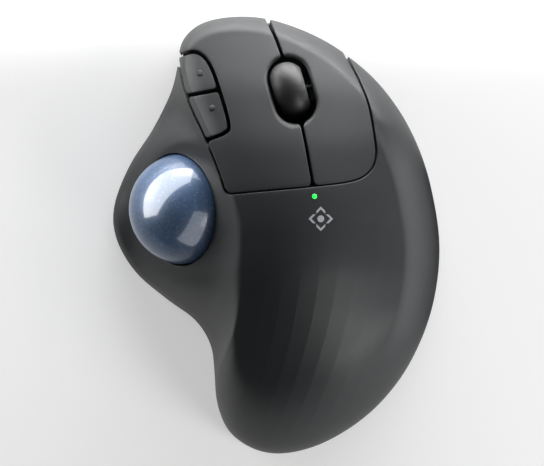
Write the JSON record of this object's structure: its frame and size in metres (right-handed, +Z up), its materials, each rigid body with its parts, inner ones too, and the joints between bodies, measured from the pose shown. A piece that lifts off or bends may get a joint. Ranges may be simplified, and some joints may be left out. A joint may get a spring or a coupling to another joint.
{
  "type": "trackball mouse",
  "caption": "Right-handed thumb trackball mouse with a slanted ball opening, scroll wheel, main and side buttons, removable battery door and gliding feet.",
  "frame": {"origin": "under the middle of the plan outline, on the surface that the feet stand on", "axes": "+X to the user's right, +Y to the front (away from the user), +Z up"},
  "size_m": [0.1003, 0.1336, 0.048],
  "materials": {
    "shell": "fine textured graphite moulding",
    "base": "fine textured black moulding",
    "inner_plastic": "plain black moulding",
    "white_plastic": "white acetal",
    "tyre_rubber": "smooth black rubber",
    "foot_pad": "low-friction pad",
    "ball_resin": "polished blue-grey pearl resin with fine flecks",
    "steel": "plated steel",
    "brass": "stamped contact",
    "board": "green solder mask",
    "chip": "black epoxy package",
    "clear": "clear moulded lens",
    "light": "green lit light guide",
    "ribbon": "flat flexible cable",
    "cell_label": "printed metal sleeve"
  },
  "bodies": {
    "casing": {"main_shell": "shell", "base_shell": "base", "foot_front_left": "foot_pad", "foot_front_right": "foot_pad", "foot_rear": "foot_pad", "foot_thumb_side": "foot_pad", "foot_right_side": "foot_pad", "case_screw_1": "steel", "case_screw_2": "steel", "case_screw_3": "steel", "case_screw_4": "steel", "ball_cup": "inner_plastic", "support_bead_1": "white_plastic", "support_bead_2": "white_plastic", "support_bead_3": "white_plastic", "sensor_lens": "clear", "sensor_chip": "chip", "sensor_board": "board", "left_switch": "inner_plastic", "right_switch": "inner_plastic", "forward_switch": "inner_plastic", "back_switch": "inner_plastic", "middle_switch": "inner_plastic", "main_board": "board", "controller_chip": "chip", "side_button_board": "board", "ribbon_cable": "ribbon", "status_light": "light", "light_guide": "light", "power_switch": "steel", "pairing_switch": "steel", "battery_cell": "cell_label", "positive_contact": "brass", "negative_spring": "steel", "receiver_plug": "steel", "receiver_cap": "inner_plastic"},
    "ball": {"trackball": "ball_resin"},
    "left_main_button": {"left_button": "shell"},
    "right_main_button": {"right_button": "shell"},
    "forward_side_button": {"forward_button": "shell"},
    "back_side_button": {"back_button": "shell"},
    "left_switch_plunger": {"left_plunger": "white_plastic"},
    "right_switch_plunger": {"right_plunger": "white_plastic"},
    "forward_switch_plunger": {"forward_plunger": "white_plastic"},
    "back_switch_plunger": {"back_plunger": "white_plastic"},
    "middle_switch_plunger": {"middle_plunger": "white_plastic"},
    "carriage": {"wheel_carriage": "white_plastic", "scroll_encoder": "board"},
    "scroll_wheel": {"wheel_tyre": "tyre_rubber", "wheel_hub": "inner_plastic", "wheel_axle": "steel"},
    "power_slide": {"power_slider": "white_plastic"},
    "pairing_key": {"pairing_button": "base"},
    "door": {"battery_door": "base"}
  },
  "joints": [
    {"name": "trackball_roll", "type": "hinge", "parent": "casing", "child": "ball", "pos_m": [-0.0282, 0.008, 0.023], "axis": [0, 1, 0], "continuous": true},
    {"name": "left_click", "type": "hinge", "parent": "casing", "child": "left_main_button", "pos_m": [-0.004, 0.0095, 0.0432], "axis": [-1, 0, 0], "range_deg": [0, 0.9], "stiffness_Nm_per_rad": 1.5},
    {"name": "right_click", "type": "hinge", "parent": "casing", "child": "right_main_button", "pos_m": [0.019, 0.0095, 0.0386], "axis": [-1, 0, 0], "range_deg": [0, 0.9], "stiffness_Nm_per_rad": 1.5},
    {"name": "left_switch_press", "type": "slide", "parent": "casing", "child": "left_switch_plunger", "axis": [0, 0, -1], "range_m": [0, 0.00064]},
    {"name": "right_switch_press", "type": "slide", "parent": "casing", "child": "right_switch_plunger", "axis": [0, 0, -1], "range_m": [0, 0.00054]},
    {"name": "forward_press", "type": "slide", "parent": "casing", "child": "forward_side_button", "axis": [0, 0, -1], "range_m": [0, 0.0005], "stiffness_N_per_m": 1200},
    {"name": "back_press", "type": "slide", "parent": "casing", "child": "back_side_button", "axis": [0, 0, -1], "range_m": [0, 0.0005], "stiffness_N_per_m": 1200},
    {"name": "forward_switch_press", "type": "slide", "parent": "casing", "child": "forward_switch_plunger", "axis": [0, 0, -1], "range_m": [0, 0.0005]},
    {"name": "back_switch_press", "type": "slide", "parent": "casing", "child": "back_switch_plunger", "axis": [0, 0, -1], "range_m": [0, 0.0005]},
    {"name": "wheel_press", "type": "hinge", "parent": "casing", "child": "carriage", "pos_m": [0.00834, 0.02898, 0.0184], "axis": [-0.9613, -0.2756, 0], "range_deg": [0, 1.1], "stiffness_Nm_per_rad": 0.9},
    {"name": "middle_switch_press", "type": "slide", "parent": "casing", "child": "middle_switch_plunger", "axis": [0, 0, -1], "range_m": [0, 0.0005]},
    {"name": "wheel_spin", "type": "hinge", "parent": "carriage", "child": "scroll_wheel", "pos_m": [0.0042, 0.0434, 0.0276], "axis": [0.9613, 0.2756, 0], "continuous": true},
    {"name": "power_switch_slide", "type": "slide", "parent": "casing", "child": "power_slide", "axis": [1, 0, 0], "range_m": [0, 0.003]},
    {"name": "pairing_press", "type": "slide", "parent": "casing", "child": "pairing_key", "axis": [0, 0, 1], "range_m": [0, 0.0004], "stiffness_N_per_m": 2000},
    {"name": "door_open", "type": "hinge", "parent": "casing", "child": "door", "pos_m": [0.01395, 0.0076, 0.0008], "axis": [1, 0, 0], "range_deg": [0, 75]}
  ],
  "couplings": [
    {"joint": "left_switch_press", "follows": "left_click", "m_per_rad": 0.0405},
    {"joint": "right_switch_press", "follows": "right_click", "m_per_rad": 0.034},
    {"joint": "forward_switch_press", "follows": "forward_press", "ratio": 1},
    {"joint": "back_switch_press", "follows": "back_press", "ratio": 1},
    {"joint": "middle_switch_press", "follows": "wheel_press", "m_per_rad": 0.0258}
  ]
}
